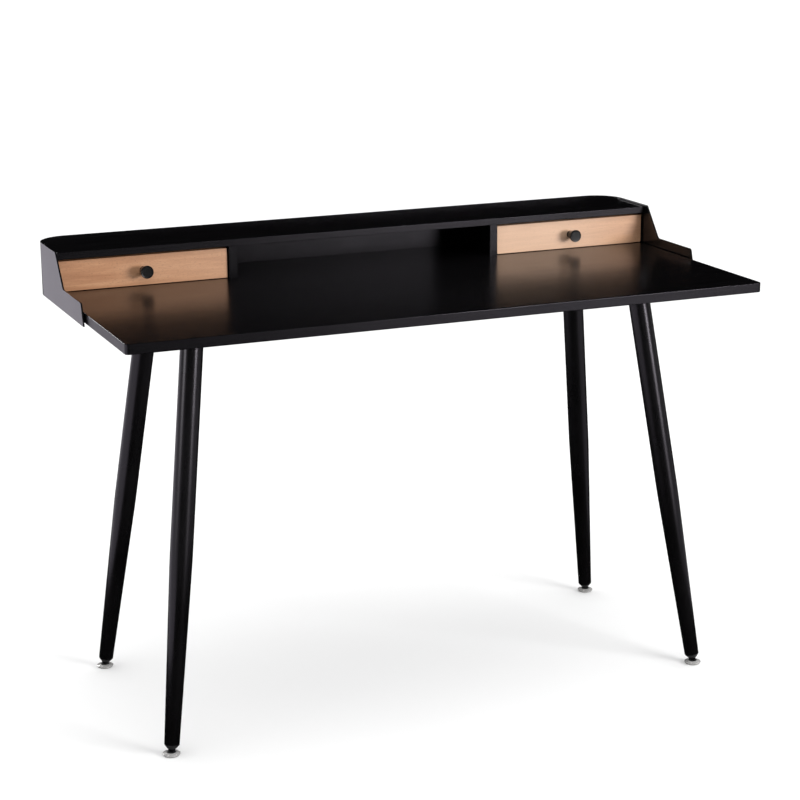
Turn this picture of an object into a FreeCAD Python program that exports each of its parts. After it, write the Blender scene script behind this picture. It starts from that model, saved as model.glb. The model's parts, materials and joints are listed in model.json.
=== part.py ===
import FreeCAD, Part
import math
import os
import re
import Sketcher

# A writing desk with a low hutch: a black desktop on four splayed tapered legs, a bent sheet-steel
# gallery round the back, and under the hutch's shelf an open bay with a small drawer on each side.
# Millimetres. +Z is up, -Y is the side a person sits at, and the origin is on the floor under the
# middle of the desk's box. Distances called "from the front" start at the desktop's front edge.

DIMENSIONS = {
    # desktop
    "desk_width": 1200, "desk_depth": 592, "desk_thick": 18, "desk_top": 762,
    "front_corner": 8, "rear_corner": 52, "desk_round": 1.4,
    # steel gallery, with depths from the front
    "steel_thick": 3, "steel_gap": 3, "steel_low": 740.5, "steel_high": 839,
    "guard_low_front": 249.5, "guard_front": 261, "guard_high": 780, "wing_foot": 387, "wing_head": 434,
    "guard_round": 6, "foot_round": 10, "head_round": 3,
    # hutch boards
    "shelf_thick": 13, "shelf_high": 836, "shelf_front": 442, "shelf_round": 0.8,
    "divider_thick": 16, "divider_front": 444.5, "bay_half": 260, "divider_round": 0.6,
    "side_thick": 12, "side_front": 467, "side_rear": 556,
    "back_thick": 9, "back_half": 564,
    # drawers
    "drawer_face": 450, "drawer_thick": 16, "drawer_low": 762.8, "drawer_high": 818.5,
    "drawer_gap": 2, "drawer_round": 0.9,
    "box_low": 764, "box_high": 808, "box_back_high": 815, "box_depth": 109,
    "box_side": 12, "box_front": 10, "box_back": 9,
    "bottom_thick": 3, "bottom_rise": 4, "bottom_groove": 4,
    "runner_deep": 7, "runner_tall": 8, "runner_middle": 786, "runner_front": 470,
    "groove_deep": 5.6, "groove_clear": 0.4, "groove_front": 3,
    "stop_front": 478, "stop_deep": 6, "stop_tall": 12, "stop_wide": 40,
    "buffer_radius": 5, "buffer_tip": 4, "buffer_long": 7.7, "buffer_span": 80,
    # knobs
    "knob_base": 7.4, "knob_face": 12, "knob_long": 25, "knob_rim": 3, "knob_waist": 5, "knob_round": 0.8,
    "knob_hole": 12,
    # legs, spread from the desktop's underside down to the floor
    "leg_side": 434, "leg_front": 170.5, "leg_rear": 434.5,
    "spread_side": 93, "spread_front": 93, "spread_rear": 89,
    "tube_upper": 20.2, "tube_lower": 13.5, "tube_wall": 1.5, "tube_knee": 331,
    "plate_size": 110, "plate_thick": 4, "plate_round": 12, "plate_pitch": 84, "plate_hole": 2.75,
    "cap_taper": 7, "cap_land": 0.5, "cap_tip": 8, "cap_neck": 11.9, "cap_long": 21, "cap_bore": 4.05,
    # levelling feet, measured along the leg from the centre of the ball
    "ball_high": 5.2, "ball_radius": 4, "ball_clear": 0.3, "neck_radius": 2.75,
    "collar_start": 4.2, "collar_flat": 6, "collar_end": 6.8, "cap_start": 7.1,
    "stud_radius": 4, "stud_end": 34,
    "pad_radius": 15.6, "pad_base": 13.4, "pad_edge": 2.8, "pad_rim": 4.2, "pad_slope": 5.6,
    "boss_base": 8.6, "boss_top": 7, "boss_high": 7.4, "pad_round": 0.5,
    # fasteners
    "pin_radius": 2, "pin_long": 15, "pin_drop": 9, "pin_clear": 2.2,
    "panel_pin_up": 13, "back_pin_up": 28, "spacer_radius": 6,
    "nut_flat": 3.5, "nut_thick": 3.2, "nut_recess": 4.5, "nut_seat": 4.5,
    "carcass_radius": 2, "carcass_long": 40, "carcass_head": 3.8, "carcass_seat": 3.2,
    "plate_screw": 2.25, "plate_screw_long": 18, "plate_screw_head": 4.5,
    "dowel_radius": 3, "dowel_long": 24, "dowel_up": 8,
    "small_radius": 1.5, "small_long": 15, "small_head": 3.1, "small_seat": 2,
    "joint_radius": 1.75, "joint_long": 22, "joint_span": 90,
    "machine_radius": 2, "machine_long": 38, "head_radius": 4, "head_tall": 2.2,
    "head_crown": 0.8, "head_edge": 0.4, "head_sunk": 0.4, "head_clear": 0.2,
}

SIDES = (("left", -1), ("right", 1))
LEGS = [(end, side, across, depth)
        for end, depth in (("front", "leg_front"), ("rear", "leg_rear")) for side, across in SIDES]

# Where the y axis stands from the desktop's front edge.
HALF_DEPTH = "(desk_depth + steel_gap + steel_thick) / 2"
UNDERSIDE = "desk_top - desk_thick"
SHELF_UNDERSIDE = "shelf_high - shelf_thick"
OUTER_SIDE = "(desk_width / 2 + steel_gap + steel_thick)"
BACK_FRONT = "desk_depth - back_thick"
DRAWER_REAR_FACE = "drawer_face + drawer_thick"
BAY_OUTER = "(desk_width / 2 - side_thick)"
BAY_INNER = "(bay_half + divider_thick)"
DRAWER_INNER = "(%s + drawer_gap)" % BAY_INNER
DRAWER_OUTER = "(%s - drawer_gap)" % BAY_OUTER
DRAWER_MIDDLE = "(%s + %s) / 2" % (DRAWER_INNER, DRAWER_OUTER)
MIDDLE_DIVIDER = "(bay_half + divider_thick / 2)"
MIDDLE_SIDE = "(desk_width / 2 - side_thick / 2)"
BOX_TALL = "(box_high - box_low)"
KNOB_MIDDLE = "(%s + desk_width / 2) / 2" % DRAWER_INNER
KNOB_HEIGHT = "(drawer_low + drawer_high) / 2"
TUBE_START = "cap_start + cap_taper + cap_land"

# Depths from the front and heights of the fastenings.
GALLERY_PIN_DEPTHS = ("290", "370")
PANEL_PIN_DEPTHS = ("490", "530")
PANEL_PIN_HEIGHT = "desk_top + panel_pin_up"
BACK_PIN_HEIGHT = "desk_top + back_pin_up"
BACK_EDGE_PINS = ("150", "450")
BACK_PANEL_PINS = ("320", "540")
DIVIDER_SCREW_DEPTHS = ("465", "560")
SIDE_SCREW_DEPTHS = ("480", "545")
BACK_SCREW_OFFSETS = ("-400", "0", "400")
DIVIDER_DOWEL_DEPTHS = ("460", "515", "570")
SIDE_DOWEL_DEPTHS = ("478", "547")
RUNNER_SCREW_DEPTHS = ("484", "540")

doc = FreeCAD.newDocument("writing_desk")
sheet = doc.addObject("Spreadsheet::Sheet", "Dimensions")
parts = []


def fill_sheet():
    for row, (name, number) in enumerate(DIMENSIONS.items(), start=1):
        sheet.set("A%d" % row, name)
        sheet.set("B%d" % row, str(number))
        sheet.setAlias("B%d" % row, name)
    doc.recompute()


def formula(text):
    """The text as a FreeCAD expression, with each dimension's name pointing at its cell."""
    return re.sub(r"[a-z_]+", lambda word: sheet.Name + "." + word.group()
                  if word.group() in DIMENSIONS else word.group(), str(text))


def value(text):
    return float(sheet.evalExpression(formula(text)))


def bind(item, prop, text):
    item.setExpression(prop, formula(text))


# ---------------------------------------------------------------- modelling helpers

def new_body(name):
    body = doc.addObject("PartDesign::Body", name)
    body.Label = name
    return body


def keep(item, label):
    """Marks an object of the document as a sub-part, which is exported under its label."""
    item.Label = label
    parts.append(item)
    return item


def place(item, across, depth, height, rotation=None):
    """Puts an object at a place bound to the sheet; depth is from the desktop's front edge."""
    if rotation is not None:
        item.Placement = FreeCAD.Placement(FreeCAD.Vector(), rotation)
    bind(item, "Placement.Base.x", across)
    bind(item, "Placement.Base.y", "%s - %s" % (depth, HALF_DEPTH))
    bind(item, "Placement.Base.z", height)


def new_sketch(body, plane="XY", offset="0"):
    sketch = body.newObject("Sketcher::SketchObject", body.Name + "_sketch")
    support = [item for item in body.Origin.OriginFeatures if item.Role == plane + "_Plane"][0]
    sketch.AttachmentSupport = [(support, "")]
    sketch.MapMode = "FlatFace"
    bind(sketch, "AttachmentOffset.Base.z", offset)
    return sketch


def fix_coordinate(sketch, kind, geometry, point, text):
    """Dimensions a sketch point from the sketch's origin; a zero puts it on the axis instead."""
    size = value(text)
    if size == 0:
        axis = -2 if kind == "DistanceX" else -1
        sketch.addConstraint(Sketcher.Constraint("PointOnObject", geometry, point, axis))
        return
    index = sketch.addConstraint(Sketcher.Constraint(kind, -1, 1, geometry, point, size))
    bind(sketch, "Constraints[%d]" % index, text)


def draw_outline(sketch, corners):
    """A closed outline of straight edges through corners given as pairs of bound coordinates."""
    points = [FreeCAD.Vector(value(u), value(v), 0) for u, v in corners]
    first = sketch.GeometryCount
    count = len(points)
    for index in range(count):
        sketch.addGeometry(Part.LineSegment(points[index], points[(index + 1) % count]), False)
    for index in range(count):
        following = (index + 1) % count
        sketch.addConstraint(Sketcher.Constraint("Coincident", first + index, 2, first + following, 1))
    for index, (u, v) in enumerate(corners):
        fix_coordinate(sketch, "DistanceX", first + index, 1, u)
        fix_coordinate(sketch, "DistanceY", first + index, 1, v)


def draw_box(sketch, left, right, low, high):
    draw_outline(sketch, [(left, low), (right, low), (right, high), (left, high)])


def draw_circles(sketch, centres, radius):
    for u, v in centres:
        middle = FreeCAD.Vector(value(u), value(v), 0)
        index = sketch.addGeometry(Part.Circle(middle, FreeCAD.Vector(0, 0, 1), value(radius)), False)
        fix_coordinate(sketch, "DistanceX", index, 3, u)
        fix_coordinate(sketch, "DistanceY", index, 3, v)
        size = sketch.addConstraint(Sketcher.Constraint("Radius", index, value(radius)))
        bind(sketch, "Constraints[%d]" % size, radius)


def draw_hexagon(sketch, half_flat):
    """A regular hexagon about the origin, two of its corners on the horizontal axis."""
    corner = value(half_flat) / math.cos(math.radians(30))
    turns = [math.radians(60 * k) for k in range(6)]
    points = [FreeCAD.Vector(corner * math.cos(turn), corner * math.sin(turn), 0) for turn in turns]
    for index in range(6):
        sketch.addGeometry(Part.LineSegment(points[index], points[(index + 1) % 6]), False)
    guide = sketch.addGeometry(Part.Circle(FreeCAD.Vector(), FreeCAD.Vector(0, 0, 1), corner), True)
    sketch.addConstraint(Sketcher.Constraint("Coincident", guide, 3, -1, 1))
    for index in range(6):
        sketch.addConstraint(Sketcher.Constraint("Coincident", index, 2, (index + 1) % 6, 1))
        sketch.addConstraint(Sketcher.Constraint("PointOnObject", index, 1, guide))
    for index in range(1, 6):
        sketch.addConstraint(Sketcher.Constraint("Equal", 0, index))
    sketch.addConstraint(Sketcher.Constraint("PointOnObject", 0, 1, -1))
    size = sketch.addConstraint(Sketcher.Constraint("Radius", guide, corner))
    bind(sketch, "Constraints[%d]" % size, "(%s) / cos(30)" % half_flat)


def add_pad(body, sketch, length, backwards=False):
    pad = body.newObject("PartDesign::Pad", body.Name + "_pad")
    pad.Profile = sketch
    pad.Reversed = backwards
    bind(pad, "Length", length)
    doc.recompute()
    return pad


def add_pocket(body, sketch, depth, backwards=False):
    """Cuts the sketch into the body, and fails when the cut removes nothing."""
    before = body.Shape.Volume
    pocket = body.newObject("PartDesign::Pocket", body.Name + "_pocket")
    pocket.Profile = sketch
    pocket.Reversed = backwards
    bind(pocket, "Length", depth)
    doc.recompute()
    if not body.Shape.Volume < before - 0.01:
        raise RuntimeError("%s: %s cuts nothing" % (body.Name, pocket.Name))
    return pocket


def cut_holes(body, centres, radius, depth, plane="XY", offset="0", backwards=True):
    sketch = new_sketch(body, plane, offset)
    draw_circles(sketch, centres, radius)
    return add_pocket(body, sketch, depth, backwards)


def add_revolution(body, sketch):
    turned = body.newObject("PartDesign::Revolution", body.Name + "_revolution")
    turned.Profile = sketch
    turned.ReferenceAxis = (sketch, ["V_Axis"])
    turned.Angle = 360
    doc.recompute()
    return turned


def turn_body(name, corners):
    """A turned body: its half section, given as radius and height, spun about the local Z axis."""
    body = new_body(name)
    sketch = new_sketch(body, "XZ")
    draw_outline(sketch, corners)
    add_revolution(body, sketch)
    return body


def round_edges(body, radius, wanted):
    """Fillets the edges of the body's last feature that the test accepts."""
    base = body.Tip
    names = ["Edge%d" % (index + 1) for index, edge in enumerate(base.Shape.Edges) if wanted(edge)]
    if not names:
        raise RuntimeError("%s: no edge to round" % body.Name)
    fillet = body.newObject("PartDesign::Fillet", body.Name + "_fillet")
    fillet.Base = (base, names)
    bind(fillet, "Radius", radius)
    doc.recompute()
    return fillet


def lies_at(edge, **wanted):
    """True when the whole edge lies at the given x, y or z of the body's own frame."""
    box = edge.BoundBox
    limits = {"x": (box.XMin, box.XMax), "y": (box.YMin, box.YMax), "z": (box.ZMin, box.ZMax)}
    return all(abs(limit - place_at) < 0.01 for axis, place_at in wanted.items() for limit in limits[axis])


def board_body(name, wide, deep, tall):
    """A plain board whose lowest corner is the body's own origin."""
    body = new_body(name)
    sketch = new_sketch(body)
    draw_box(sketch, "0", wide, "0", deep)
    add_pad(body, sketch, tall)
    return body


def copies(label, source, places):
    """One node of several identical solids: linked copies of a source body."""
    links = []
    for across, depth, height, rotation in places:
        link = doc.addObject("App::Link", label + "_copy")
        link.LinkedObject = source
        place(link, across, depth, height, rotation)
        links.append(link)
    group = doc.addObject("Part::Compound", label)
    group.Links = links
    return keep(group, label)


def turned_to(x, y, z):
    """The rotation that points a body's own Z axis along the given direction."""
    return FreeCAD.Rotation(FreeCAD.Vector(0, 0, 1), FreeCAD.Vector(x, y, z))


UPRIGHT = FreeCAD.Rotation()
FORWARD = FreeCAD.Rotation(FreeCAD.Vector(1, 0, 0), 90)
BACKWARD = FreeCAD.Rotation(FreeCAD.Vector(1, 0, 0), -90)


def towards(sign):
    """The rotation that points a body's own Z axis to the right (+1) or the left (-1)."""
    return FreeCAD.Rotation(FreeCAD.Vector(0, 1, 0), 90 * sign)


# ---------------------------------------------------------------- desktop and gallery

def plate_screw_places():
    half = "plate_pitch / 2"
    return [("%d * leg_side %s %s" % (across, step_x, half), "%s %s %s" % (depth, step_y, half))
            for _, _, across, depth in LEGS for step_x in "+-" for step_y in "+-"]


def upright_places(divider_depths, side_depths):
    """Middles of fastenings along the dividers and the side panels, on both sides of the desk."""
    places = [("%d * %s" % (sign, MIDDLE_DIVIDER), depth) for _, sign in SIDES for depth in divider_depths]
    places += [("%d * %s" % (sign, MIDDLE_SIDE), depth) for _, sign in SIDES for depth in side_depths]
    return places


def carcass_screw_places():
    places = upright_places(DIVIDER_SCREW_DEPTHS, SIDE_SCREW_DEPTHS)
    places += [(across, "desk_depth - back_thick / 2") for across in BACK_SCREW_OFFSETS]
    return places


def make_desktop():
    body = board_body("desktop", "desk_width", "desk_depth", "desk_thick")
    thick = value("desk_thick")
    round_edges(body, "front_corner", lambda edge: lies_at(edge, y=0) and edge.BoundBox.ZLength > thick / 2)
    rear = value("desk_depth")
    round_edges(body, "rear_corner", lambda edge: lies_at(edge, y=rear) and edge.BoundBox.ZLength > thick / 2)
    round_edges(body, "desk_round", lambda edge: lies_at(edge, z=0) or lies_at(edge, z=thick))
    middle = "desk_width / 2 + "
    cut_holes(body, [(middle + u, v) for u, v in plate_screw_places()], "plate_screw",
              "plate_screw_long - plate_thick")
    carcass = [(middle + u, v) for u, v in carcass_screw_places()]
    cut_holes(body, carcass, "carcass_radius", "desk_thick")
    cut_holes(body, carcass, "carcass_head", "carcass_seat")
    pin_height = "desk_thick - pin_drop"
    pin_deep = "pin_long - steel_gap"
    side_pins = [(depth, pin_height) for depth in GALLERY_PIN_DEPTHS]
    cut_holes(body, side_pins, "pin_radius", pin_deep, "YZ", "0", True)
    cut_holes(body, side_pins, "pin_radius", pin_deep, "YZ", "desk_width", False)
    rear_pins = [("%s %s %s" % ("desk_width / 2", step, across), pin_height)
                 for step in "+-" for across in BACK_EDGE_PINS]
    cut_holes(body, rear_pins, "pin_radius", pin_deep, "XZ", "-desk_depth", True)
    place(body, "-desk_width / 2", "0", UNDERSIDE)
    keep(body, "desktop")


def make_gallery():
    """A strip of steel bent round three sides, with its two wings cut down to a low guard."""
    body = new_body("gallery_surround")
    wide = "2 * " + OUTER_SIDE
    deep = "(desk_depth + steel_gap + steel_thick - guard_low_front)"
    tall = "(steel_high - steel_low)"
    strip = new_sketch(body)
    inner_right = "%s - steel_thick" % wide
    inner_rear = "%s - steel_thick" % deep
    draw_outline(strip, [("0", "0"), ("steel_thick", "0"), ("steel_thick", inner_rear),
                         (inner_right, inner_rear), (inner_right, "0"), (wide, "0"), (wide, deep),
                         ("0", deep)])
    add_pad(body, strip, tall)

    guard_front = "guard_front - guard_low_front"
    guard_high = "guard_high - steel_low"
    wing_foot = "wing_foot - guard_low_front"
    wing_head = "wing_head - guard_low_front"
    profile = new_sketch(body, "YZ", wide)
    draw_outline(profile, [("0", "0"), (guard_front, guard_high), (wing_foot, guard_high), (wing_head, tall),
                           ("0", tall)])
    add_pocket(body, profile, wide)

    def crosswise(depth, height):
        return lambda edge: lies_at(edge, y=value(depth), z=value(height))

    round_edges(body, "guard_round", crosswise(guard_front, guard_high))
    round_edges(body, "foot_round", crosswise(wing_foot, guard_high))
    round_edges(body, "head_round", crosswise(wing_head, tall))
    outer_bend = "rear_corner + steel_gap + steel_thick"
    inner_bend = "rear_corner + steel_gap"
    full = value(tall)

    def upright(depth):
        return lambda edge: lies_at(edge, y=value(depth)) and abs(edge.BoundBox.ZLength - full) < 0.01

    round_edges(body, inner_bend, upright(inner_rear))
    round_edges(body, outer_bend, upright(deep))
    place(body, "-" + OUTER_SIDE, "guard_low_front", "steel_low")
    keep(body, "gallery_surround")


# ---------------------------------------------------------------- hutch

def dowel_places():
    """Middles of the dowels that hold the shelf down on the dividers and the side panels."""
    return upright_places(DIVIDER_DOWEL_DEPTHS, SIDE_DOWEL_DEPTHS)


def make_shelf():
    deep = "desk_depth - shelf_front"
    body = board_body("shelf_top", "desk_width", deep, "shelf_thick")
    thick = value("shelf_thick")
    rear = value(deep)
    round_edges(body, "rear_corner", lambda edge: lies_at(edge, y=rear) and edge.BoundBox.ZLength > thick / 2)
    round_edges(body, "shelf_round", lambda edge: lies_at(edge, z=0) or lies_at(edge, z=thick))
    holes = [("desk_width / 2 + " + u, "%s - shelf_front" % v) for u, v in dowel_places()]
    cut_holes(body, holes, "dowel_radius", "dowel_up")
    place(body, "-desk_width / 2", "shelf_front", SHELF_UNDERSIDE)
    keep(body, "shelf_top")


def cut_upright_holes(body, thick, front, screw_depths, dowel_depths):
    """Pilot holes up into a panel's foot and dowel holes down into its head."""
    middle = thick + " / 2"
    screws = [(middle, "%s - %s" % (depth, front)) for depth in screw_depths]
    cut_holes(body, screws, "carcass_radius", "carcass_long - desk_thick + carcass_seat")
    dowels = [(middle, "%s - %s" % (depth, front)) for depth in dowel_depths]
    cut_holes(body, dowels, "dowel_radius", "dowel_long - dowel_up", "XY",
              "%s - desk_top" % SHELF_UNDERSIDE, False)


def cut_runner_holes(body, front, face, backwards):
    """Pilot holes for one runner's screws, bored sideways into the panel face that carries it."""
    centres = [("%s - %s" % (depth, front), "runner_middle - desk_top") for depth in RUNNER_SCREW_DEPTHS]
    cut_holes(body, centres, "small_radius", "small_long - runner_deep + small_seat", "YZ", face, backwards)


def make_dividers():
    tall = "%s - desk_top" % SHELF_UNDERSIDE
    for side, sign in SIDES:
        body = board_body("divider_" + side, "divider_thick", "%s - divider_front" % BACK_FRONT, tall)
        round_edges(body, "divider_round", lambda edge: lies_at(edge, y=0) and edge.BoundBox.ZLength > 1)
        cut_upright_holes(body, "divider_thick", "divider_front", DIVIDER_SCREW_DEPTHS, DIVIDER_DOWEL_DEPTHS)
        face = "0" if sign < 0 else "divider_thick"
        cut_runner_holes(body, "divider_front", face, sign < 0)
        place(body, "-" + BAY_INNER if sign < 0 else "bay_half", "divider_front", "desk_top")
        keep(body, "divider_" + side)


def make_side_panels():
    """The hutch's ends, each bored for the nutted pins that hold the gallery."""
    for side, sign in SIDES:
        body = board_body("side_panel_" + side, "side_thick", "side_rear - side_front",
                          "%s - desk_top" % SHELF_UNDERSIDE)
        cut_upright_holes(body, "side_thick", "side_front", SIDE_SCREW_DEPTHS, SIDE_DOWEL_DEPTHS)
        inner_face = "side_thick" if sign < 0 else "0"
        cut_runner_holes(body, "side_front", inner_face, sign > 0)
        pins = [("%s - side_front" % depth, "%s - desk_top" % PANEL_PIN_HEIGHT) for depth in PANEL_PIN_DEPTHS]
        cut_holes(body, pins, "pin_clear", "side_thick", "YZ", inner_face, sign > 0)
        cut_holes(body, pins, "nut_seat", "nut_recess", "YZ", inner_face, sign > 0)
        place(body, "-desk_width / 2" if sign < 0 else BAY_OUTER, "side_front", "desk_top")
        keep(body, "side_panel_" + side)


def make_back_panel():
    body = board_body("back_panel", "2 * back_half", "back_thick", "%s - desk_top" % SHELF_UNDERSIDE)
    screws = [("back_half + %s" % across, "back_thick / 2") for across in BACK_SCREW_OFFSETS]
    cut_holes(body, screws, "carcass_radius", "carcass_long - desk_thick + carcass_seat")
    pins = [("back_half %s %s" % (step, across), "%s - desk_top" % BACK_PIN_HEIGHT)
            for step in "+-" for across in BACK_PANEL_PINS]
    cut_holes(body, pins, "pin_clear", "back_thick", "XZ", "0", False)
    place(body, "-back_half", BACK_FRONT, "desk_top")
    keep(body, "back_panel")


def make_runners():
    """Nylon strips, one each side of a drawer, that fit the grooves in the drawer's sides."""
    long = "side_rear - runner_front"
    for side, sign in SIDES:
        for edge_name, outer in (("outer", True), ("inner", False)):
            name = "runner_%s_%s" % (side, edge_name)
            body = board_body(name, "runner_deep", long, "runner_tall")
            screws = [("%s - runner_front" % depth, "runner_tall / 2") for depth in RUNNER_SCREW_DEPTHS]
            on_left_face = (sign < 0) == outer
            mouth = "runner_deep" if on_left_face else "0"
            cut_holes(body, screws, "small_radius", "runner_deep", "YZ", mouth, not on_left_face)
            cut_holes(body, screws, "small_head", "small_seat", "YZ", mouth, not on_left_face)
            if outer:
                low_x = "-" + BAY_OUTER if sign < 0 else BAY_OUTER + " - runner_deep"
            else:
                low_x = "-" + BAY_INNER + " - runner_deep" if sign < 0 else BAY_INNER
            place(body, low_x, "runner_front", "runner_middle - runner_tall / 2")
            keep(body, name)


def make_drawer_stops():
    """Blocks under the shelf that catch the tall back of each drawer."""
    blocks = []
    for side, sign in SIDES:
        block = doc.addObject("Part::Box", "stop_block_" + side)
        bind(block, "Length", "stop_wide")
        bind(block, "Width", "stop_deep")
        bind(block, "Height", "stop_tall")
        place(block, "%d * %s - stop_wide / 2" % (sign, DRAWER_MIDDLE), "stop_front",
              "%s - stop_tall" % SHELF_UNDERSIDE)
        blocks.append(block)
    group = doc.addObject("Part::Compound", "drawer_stops")
    group.Links = blocks
    keep(group, "drawer_stops")


def make_drawer_buffers():
    buffers = turn_body("buffer_source", [("0", "0"), ("buffer_radius", "0"), ("buffer_tip", "buffer_long"),
                                          ("0", "buffer_long")])
    places = [("%d * %s %s buffer_span" % (sign, DRAWER_MIDDLE, step), BACK_FRONT, BACK_PIN_HEIGHT, FORWARD)
              for _, sign in SIDES for step in "+-"]
    copies("drawer_buffers", buffers, places)


# ---------------------------------------------------------------- drawers

def mirrored(sign, low, high):
    """The lower x of a piece that spans low to high on the right-hand side."""
    return low if sign > 0 else "-(%s)" % high


def make_drawer_front(side, sign):
    """The veneered front, lapping over the side panel to the end of the desktop."""
    wide = "(desk_width / 2 - %s)" % DRAWER_INNER
    body = board_body("drawer_%s_front" % side, wide, "drawer_thick", "drawer_high - drawer_low")
    round_edges(body, "drawer_round", lambda edge: lies_at(edge, y=0))
    low_x = mirrored(sign, DRAWER_INNER, "desk_width / 2")
    knob_x = "%d * %s - (%s)" % (sign, KNOB_MIDDLE, low_x)
    height = "%s - drawer_low" % KNOB_HEIGHT
    cut_holes(body, [(knob_x, height)], "machine_radius", "drawer_thick", "XZ", "0", False)
    screws = [("%s %s joint_span" % (knob_x, step), height) for step in "+-"]
    cut_holes(body, screws, "joint_radius", "joint_long - box_front", "XZ", "-drawer_thick", True)
    place(body, low_x, "drawer_face", "drawer_low")
    keep(body, "drawer_%s_front" % side)


def make_drawer_ends(side, sign):
    """The box's inner front and its back, both grooved for the bottom."""
    low_x = "%s + box_side" % DRAWER_INNER
    wide = "(%s - %s - 2 * box_side)" % (DRAWER_OUTER, DRAWER_INNER)
    place_x = mirrored(sign, low_x, "%s - box_side" % DRAWER_OUTER)
    knob_x = "%d * %s - (%s)" % (sign, KNOB_MIDDLE, place_x)

    front = board_body("drawer_%s_box_front" % side, wide, "box_front", BOX_TALL)
    groove = new_sketch(front, "YZ", wide)
    draw_box(groove, "box_front - bottom_groove", "box_front", "bottom_rise", "bottom_rise + bottom_thick")
    add_pocket(front, groove, wide)
    height = "%s - box_low" % KNOB_HEIGHT
    cut_holes(front, [(knob_x, height)], "machine_radius", "box_front", "XZ", "0", False)
    screws = [("%s %s joint_span" % (knob_x, step), height) for step in "+-"]
    cut_holes(front, screws, "joint_radius", "box_front", "XZ", "0", False)
    place(front, place_x, DRAWER_REAR_FACE, "box_low")
    keep(front, "drawer_%s_box_front" % side)

    back = board_body("drawer_%s_box_back" % side, wide, "box_back", "box_back_high - box_low")
    groove = new_sketch(back, "YZ", wide)
    draw_box(groove, "0", "bottom_groove", "bottom_rise", "bottom_rise + bottom_thick")
    add_pocket(back, groove, wide)
    place(back, place_x, "%s + box_depth - box_back" % DRAWER_REAR_FACE, "box_low")
    keep(back, "drawer_%s_box_back" % side)


def make_drawer_sides(side, sign):
    """The box's sides: a wide groove outside for the runner, a fine one inside for the bottom."""
    low_runner = "runner_middle - runner_tall / 2 - groove_clear - box_low"
    high_runner = "runner_middle + runner_tall / 2 + groove_clear - box_low"
    for edge_name, outer in (("outer", True), ("inner", False)):
        name = "drawer_%s_side_%s" % (side, edge_name)
        body = board_body(name, "box_side", "box_depth", BOX_TALL)
        on_right = (sign > 0) == outer
        outside, inside = ("box_side", "0") if on_right else ("0", "box_side")
        groove = new_sketch(body, "YZ", outside)
        draw_box(groove, "groove_front", "box_depth", low_runner, high_runner)
        add_pocket(body, groove, "groove_deep", not on_right)
        groove = new_sketch(body, "YZ", inside)
        draw_box(groove, "box_front - bottom_groove", "box_depth - box_back + bottom_groove",
                 "bottom_rise", "bottom_rise + bottom_thick")
        add_pocket(body, groove, "bottom_groove", on_right)
        if outer:
            low_x = mirrored(sign, "%s - box_side" % DRAWER_OUTER, DRAWER_OUTER)
        else:
            low_x = mirrored(sign, DRAWER_INNER, "%s + box_side" % DRAWER_INNER)
        place(body, low_x, DRAWER_REAR_FACE, "box_low")
        keep(body, name)


def make_drawer_bottom(side, sign):
    low = "%s + box_side - bottom_groove" % DRAWER_INNER
    high = "%s - box_side + bottom_groove" % DRAWER_OUTER
    wide = "(%s - %s - 2 * box_side + 2 * bottom_groove)" % (DRAWER_OUTER, DRAWER_INNER)
    deep = "box_depth - box_front - box_back + 2 * bottom_groove"
    body = board_body("drawer_%s_bottom" % side, wide, deep, "bottom_thick")
    place(body, mirrored(sign, low, high), "%s + box_front - bottom_groove" % DRAWER_REAR_FACE,
          "box_low + bottom_rise")
    keep(body, "drawer_%s_bottom" % side)


def make_knob(side, sign):
    """A flared turned knob: a straight foot, a cone, and a short cylindrical rim round a flat face."""
    name = "drawer_%s_knob" % side
    body = turn_body(name, [("machine_radius", "0"), ("knob_base", "0"), ("knob_base", "knob_waist"),
                            ("knob_face", "knob_long - knob_rim"), ("knob_face", "knob_long"),
                            ("0", "knob_long"), ("0", "knob_hole"), ("machine_radius", "knob_hole")])
    long = value("knob_long")
    wide = 2 * value("knob_face")
    round_edges(body, "knob_round",
                lambda edge: lies_at(edge, z=long) and abs(edge.BoundBox.XLength - wide) < 0.1)
    place(body, "%d * %s" % (sign, KNOB_MIDDLE), "drawer_face", KNOB_HEIGHT, FORWARD)
    keep(body, name)


def headed_screw(name, radius, long, head_radius, head_tall):
    """A screw standing on its head, which is drawn in a little at the crown."""
    top = "(%s + %s)" % (head_tall, long)
    return turn_body(name, [("0", "0"), ("(%s) * head_crown" % head_radius, "0"),
                            (head_radius, "(%s) * head_edge" % head_tall), (head_radius, head_tall),
                            (radius, head_tall), (radius, top), ("0", top)])


def make_drawer_screws(side, sign):
    inside = "%s + box_front" % DRAWER_REAR_FACE
    knob_x = "%d * %s" % (sign, KNOB_MIDDLE)
    name = "drawer_%s_knob_screw" % side
    body = headed_screw(name, "machine_radius", "machine_long", "head_radius", "head_tall")
    place(body, knob_x, inside + " + head_tall", KNOB_HEIGHT, FORWARD)
    keep(body, name)
    source = headed_screw("joint_screw_%s" % side, "joint_radius", "joint_long", "head_radius", "head_tall")
    places = [("%s %s joint_span" % (knob_x, step), inside + " + head_tall", KNOB_HEIGHT, FORWARD)
              for step in "+-"]
    copies("drawer_%s_front_screws" % side, source, places)


# ---------------------------------------------------------------- legs and feet

# Each end's own spread, with the way it goes from the leg's top down to the floor.
LEG_SPREAD = {"leg_front": "-spread_front", "leg_rear": "spread_rear"}


def leg_axis(across, depth):
    """The unit vector up one leg, which leans inwards from the floor."""
    lean = FreeCAD.Vector(across * value("spread_side"), value(LEG_SPREAD[depth]), -value(UNDERSIDE))
    return -lean.normalize()


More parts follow.
